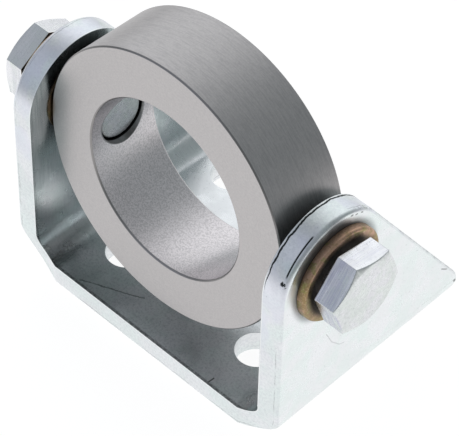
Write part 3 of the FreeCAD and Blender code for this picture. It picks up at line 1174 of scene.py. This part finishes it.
def rolled_in(edge):
    """Whether an edge belongs to the outline of the outside skin."""
    ends = [corner.co / MM for corner in edge.verts]
    on_skin = all(abs(depth_below_skin(end)) < roll_margin for end in ends)
    return on_skin and edge.calc_face_angle(0) > roll_angle and not at_a_hole(ends[0])


def crowded(corner):
    """Whether a point lies where the bend begins at the back corner of an ear."""
    x, y, z = corner.co / MM
    on_ear = abs(abs(x) - ear_outer_x) < skin_margin
    return on_ear and y > bracket_back - crowd_depth and abs(z - bend_outer_r) < crowd_height


def roll_outside_edges(sheet):
    open_up(sheet)
    bpy.ops.mesh.select_all(action="SELECT")
    bpy.ops.mesh.remove_doubles(threshold=near_doubles * MM)
    pick(sheet, "EDGE", rolled_in)
    bpy.ops.mesh.bevel(offset=die_roll * MM, segments=4, affect="EDGES")
    pick(sheet, "VERT", crowded)
    bpy.ops.mesh.remove_doubles(threshold=crowd_gap * MM)
    bpy.ops.object.mode_set(mode="OBJECT")


def flatten_skins(sheet):
    """Puts the points of the ears back into their planes, from which a cut may have nudged them."""
    for corner in sheet.data.vertices:
        for skin_x in (-ear_outer_x, -ear_inner_x, ear_inner_x, ear_outer_x):
            if abs(corner.co.x / MM - skin_x) < skin_margin and corner.co.z / MM > bend_outer_r:
                corner.co.x = skin_x * MM


def folded_bracket():
    sheet = folded_sheet()
    draw_back(sheet)
    join_flats(sheet, above=bend_outer_r - 0.01)
    cut(sheet, side_outline(), "INTERSECT")
    for axis in hole_axes():
        cut(sheet, rod(*axis))
    flatten_skins(sheet)
    roll_outside_edges(sheet)
    flatten_skins(sheet)
    soften(sheet, 0.07, sharper_than=40)
    return sheet


dress(folded_bracket(), "bracket", "bracket", "plated_sheet")

# %% [markdown]
# The ring is one heavy turning, so it is turned here too: a circle is pulled along its axis and
# widened or narrowed step by step until the outline closes. The edges are broken by a third of a
# millimetre and end in tiny rounds, which is what draws the thin lines on the real one. Each
# cross hole is one stepped form, taken out of the wall in a single cut: a mouth into the bore, a
# relief round the end of the screw, the thread, and the seat that the shoulder stands on.

# %% Ring
ring_width = 19.6
outer_chamfer, bore_chamfer = 0.32, 0.36
thread_r = 6.0
seat_r = 7.25
seat_x = ring_outer_r - 1.0
relief_r = 6.3
relief_depth = 1.6
mouth_r = 7.3
mouth_depth = 0.6
hole_spare = 4.0


def turned_ring():
    half = ring_width / 2
    bore_edge = ring_bore_r + bore_chamfer
    outer_edge = ring_outer_r - outer_chamfer
    profile = [(-half, bore_edge), (-half, outer_edge), (outer_chamfer - half, ring_outer_r),
               (half - outer_chamfer, ring_outer_r), (half, outer_edge), (half, bore_edge),
               (half - bore_chamfer, ring_bore_r), (bore_chamfer - half, ring_bore_r)]
    ring = turned("turned_ring", profile, sides=256, hollow=True)
    lay_down(ring, ring_axis)
    relief_x = ring_bore_r + relief_depth
    hole_profile = [(ring_bore_r - hole_spare, mouth_r), (ring_bore_r + mouth_depth, relief_r),
                    (relief_x, relief_r), (relief_x, thread_r), (seat_x, thread_r),
                    (seat_x, seat_r), (ring_outer_r + hole_spare, seat_r)]
    for side in (-1, 1):
        hole = turned("hole", hole_profile, sides=96)
        lay_down(hole, (side, 0, 0))
        cut(ring, hole)
    soften(ring, 0.06)
    return ring


dress(turned_ring(), "swivel_ring", "ring", "turned_ring")

# %% [markdown]
# A shouldered screw is turned from hexagon bar, so its head is a six sided bar whose end is faced
# off by a flat cone: the cone leaves the arched edges on the flats. The same helper makes the bar
# from a circle of six points, and the two forms are then intersected, which may split the end
# face, so its parts are joined again. The shank steps down from the shoulder, which the bush runs
# on, to the thread that holds it in the ring.

# %% Shouldered screws
head_across_flats = 18.0
head_corner_r = head_across_flats / math.sqrt(3)
head_outer_x = screw_high.x
head_face_r = head_across_flats / 2 - 0.4
head_slope = math.tan(math.radians(24))
cone_r = head_corner_r + 2
shoulder_r = 7.0
screw_end_x = screw_low.x
screw_end_round, screw_end_step = 0.5, 0.15


def shouldered_screw(name, side, turn, gap):
    head_under_x = bush_high.x + gap
    head = turned(name, [(head_under_x, head_corner_r), (head_outer_x, head_corner_r)], sides=6)
    cone_x = head_outer_x - (cone_r - head_face_r) * head_slope
    cone = turned("cone", [(head_under_x - 1, cone_r), (cone_x, cone_r), (head_outer_x, head_face_r)],
                  sides=192)
    cut(head, cone, "INTERSECT")
    join_flats(head)
    soften(head, 0.16, segments=3, sharper_than=18)
    shank = turned("shank", [(screw_end_x, thread_r - screw_end_round),
                             (screw_end_x + screw_end_step, thread_r - screw_end_step),
                             (screw_end_x + screw_end_round, thread_r), (seat_x, thread_r),
                             (seat_x, shoulder_r), (head_under_x + 1, shoulder_r)])
    soften(shank, 0.08)
    only(head)
    shank.select_set(True)
    bpy.ops.object.join()
    lay_down(head, (side, 0, 0), side * turn)
    return head


print("head", head_across_flats, "across flats, screw end at", round(screw_end_x, 2))

# %% [markdown]
# The bushes are turned as well. A pressed bush has a generous round on the rim of its flange, so
# that loop of edges is picked out by its place and bevelled before the small edges are softened.
# Between each ear and the ring runs a thin washer of the same bronze.

# %% Bushes and washers
bush_bore_r = 7.05
bush_rim_r = 0.75
washer_low, washer_high = node_box("right_thrust_washer")
washer_clearance = 0.1


def flanged_bush(name, side, extra):
    end = bush_high.x + extra
    bush = turned(name, [(ear_inner_x, bush_bore_r), (ear_inner_x, bush_body_r),
                         (ear_outer_x, bush_body_r), (ear_outer_x, bush_flange_r),
                         (end, bush_flange_r), (end, bush_bore_r)], hollow=True)

    def on_rim(edge):
        middle = (edge.verts[0].co + edge.verts[1].co) / 2 / MM
        return abs(middle.z - end) < 0.01 and middle.xy.length > bush_flange_r - 0.1

    open_up(bush)
    pick(bush, "EDGE", on_rim)
    bpy.ops.mesh.bevel(offset=bush_rim_r * MM, segments=6, affect="EDGES")
    bpy.ops.object.mode_set(mode="OBJECT")
    soften(bush, 0.1)
    lay_down(bush, (side, 0, 0))
    return bush


def thrust_washer(name, side):
    low_x, high_x = washer_low.x, washer_high.x
    hole_r, edge_r = shoulder_r + washer_clearance, washer_high.z - swivel.z
    washer = turned(name, [(low_x, hole_r), (low_x, edge_r), (high_x, edge_r), (high_x, hole_r)],
                    hollow=True)
    soften(washer, 0.04)
    lay_down(washer, (side, 0, 0))
    return washer


print("flange radius", round(bush_flange_r, 2), "with a rim round of", bush_rim_r)

# %% [markdown]
# Both sides of the mount hold the same three pieces, so one loop makes them. A few things differ,
# as on the real mount: each head was driven home to another turn, the left one stands further
# from its bush, and the left flange is a little thicker.

# %% Screws, bushes and washers on both sides
head_turns = {"right": 110.0, "left": 92.0}
head_gaps = {"right": 1.25, "left": 1.85}
flange_extra = {"right": 0.0, "left": 0.4}
for side_name, side in (("right", 1), ("left", -1)):
    screw = shouldered_screw(side_name + "_screw", side, head_turns[side_name], head_gaps[side_name])
    dress(screw, side_name + "_shoulder_screw", "ring", "plated_screw")
    bush = flanged_bush(side_name + "_bush", side, flange_extra[side_name])
    dress(bush, side_name + "_flanged_bush", "bracket", "bronze")
    washer = thrust_washer(side_name + "_washer", side)
    dress(washer, side_name + "_thrust_washer", "bracket", "bronze")

# %% [markdown]
# The studio is a white floor in a soft room of light. Bright metal shows its surroundings more
# than its own colour, so the room matters as much as the finishes. The floor shows white to the
# camera. In the gloss of the metal it is white near the mount and greyer further off, as a sheet
# of paper on a table is. A small share of it is still lit by the room, so the mount keeps a faint
# shadow. The floor's own coordinates are in metres.

# %% Floor
floor_white, floor_grey, shadow_grey = (0.93, 0.93, 0.93, 1), (0.9, 0.9, 0.9, 1), (0.2, 0.2, 0.2, 1)
paper_near, paper_far, far_strength = 0.15, 0.50, 0.40


def paint_floor():
    paint = bpy.data.materials.new("floor_paint")
    paint.use_nodes = True
    tree = paint.node_tree
    plain = tree.nodes["Principled BSDF"]
    plain.inputs["Base Color"].default_value = floor_grey
    plain.inputs["Roughness"].default_value = 0.9
    plain.inputs["Specular IOR Level"].default_value = 0.0
    rays = add_node(tree, "ShaderNodeLightPath").outputs
    floor_point = add_node(tree, "ShaderNodeTexCoord").outputs["Object"]
    from_middle = vector_maths(tree, "LENGTH", floor_point)
    far_off = spread(tree, from_middle, paper_near, paper_far, 1.0, far_strength)
    glow = add_node(tree, "ShaderNodeEmission")
    feed(tree, glow.inputs["Color"], floor_white)
    feed(tree, glow.inputs["Strength"], mix_value(tree, rays["Is Camera Ray"], far_off, 1.0))
    shade = add_node(tree, "ShaderNodeBsdfDiffuse")
    feed(tree, shade.inputs["Color"], shadow_grey)
    shown = add_node(tree, "ShaderNodeAddShader")
    feed(tree, shown.inputs[0], glow.outputs[0])
    feed(tree, shown.inputs[1], shade.outputs[0])
    choice = add_node(tree, "ShaderNodeMixShader")
    seen = strongest(tree, rays["Is Camera Ray"], rays["Is Glossy Ray"], rays["Is Transmission Ray"])
    feed(tree, choice.inputs[0], seen)
    feed(tree, choice.inputs[1], plain.outputs[0])
    feed(tree, choice.inputs[2], shown.outputs[0])
    feed(tree, tree.nodes["Material Output"].inputs["Surface"], choice.outputs[0])
    return paint


bpy.ops.object.select_all(action="DESELECT")
bpy.ops.mesh.primitive_plane_add(size=4.0, location=(0, 0, -0.1 * MM))
floor = bpy.context.object
floor.name = "floor"
floor.data.materials.append(paint_floor())
print("floor", [round(side, 1) for side in floor.dimensions])

# %% [markdown]
# The room is one smooth sky in a cool grey, with two soft round glows in it. The large one lies
# low behind the left shoulder of the mount, where what faces up and back mirrors it. The small
# one lies higher on the front left, faint and bluish, and puts lavender on what faces up and
# forwards. Only the camera sees white in place of the room.

# %% Room
room_base = (0.285, 0.312, 0.322, 1)
glows = [
    # turn, rise, where it starts to fade, where it ends, colour
    (218, 10, 24, 66, (0.73, 0.73, 0.74)),
    (327, 33, 16, 48, (0.20, 0.205, 0.265)),
]
world = bpy.data.worlds.new("room")
scene.world = world
world.use_nodes = True
tree = world.node_tree
direction = add_node(tree, "ShaderNodeTexCoord").outputs["Generated"]

room_colour = room_base
for turn, rise, inner, outer, colour in glows:
    closeness = vector_maths(tree, "DOT_PRODUCT", direction, tuple(towards(turn, rise)))
    amount = spread(tree, closeness, math.cos(math.radians(outer)), math.cos(math.radians(inner)))
    glow = blend(tree, amount, (0, 0, 0, 1), (*colour, 1))
    room_colour = blend(tree, 1.0, room_colour, glow, "ADD")
seen_by_camera = add_node(tree, "ShaderNodeLightPath").outputs["Is Camera Ray"]
room_colour = blend(tree, seen_by_camera, room_colour, (1, 1, 1, 1))
feed(tree, tree.nodes["Background"].inputs["Color"], room_colour)
print("room:", len(glows), "glows on a base of", room_base[:3])
